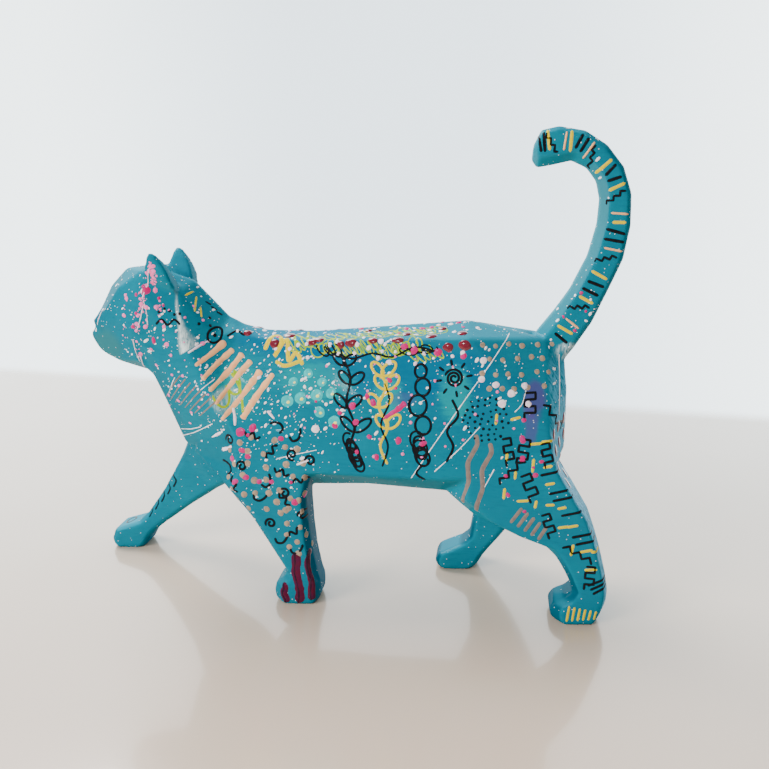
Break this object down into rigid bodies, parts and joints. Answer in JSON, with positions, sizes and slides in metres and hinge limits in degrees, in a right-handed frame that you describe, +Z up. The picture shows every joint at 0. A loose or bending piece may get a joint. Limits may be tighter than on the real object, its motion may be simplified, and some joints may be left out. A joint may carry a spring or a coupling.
{
  "type": "papier-mache cat ornament",
  "caption": "Walking cat ornament moulded in papier-mache with flat facets, raised curled tail and small pointed ears, painted turquoise and varnished.",
  "frame": {"origin": "middle of the whole cat's footprint box, on the surface it stands on", "axes": "the cat looks toward -X, its left side faces -Y, +Z is up"},
  "size_m": [0.2272, 0.0588, 0.1894],
  "materials": {
    "varnished_paint": "turquoise acrylic paint with marker lines, dots and splatter, under gloss varnish"
  },
  "bodies": {
    "root": {"papier_mache_cat": "varnished_paint"}
  },
  "joints": []
}
